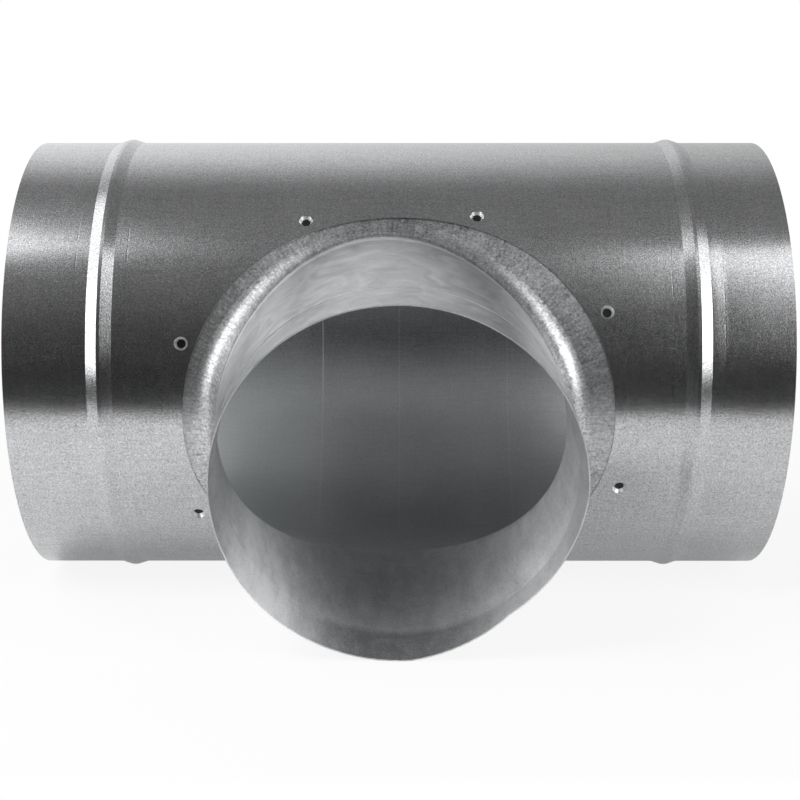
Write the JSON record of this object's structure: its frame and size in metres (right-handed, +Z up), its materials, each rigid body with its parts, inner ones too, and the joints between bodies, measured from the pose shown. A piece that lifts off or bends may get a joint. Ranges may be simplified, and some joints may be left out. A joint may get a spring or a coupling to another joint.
{
  "type": "reducing duct tee",
  "caption": "Round duct tee in galvanised sheet: a straight run pipe with stop beads near its ends and a smaller branch at right angles.",
  "frame": {"origin": "on the floor under the middle of the tee's bounding box, with the tee lying as it comes to rest", "axes": "+X along the run pipe, +Z up; the branch points to -Y and dips by 10.2 degrees, until its rim meets the floor"},
  "size_m": [0.37, 0.3212, 0.2266],
  "materials": {
    "run_galvanised_steel": "galvanised steel sheet, fine grain, satin",
    "branch_galvanised_steel": "galvanised steel sheet, pressed, coarser grain at the stretched root, satin neck with scuffs"
  },
  "bodies": {
    "root": {"run_pipe": "run_galvanised_steel", "branch_saddle": "branch_galvanised_steel"}
  },
  "joints": []
}
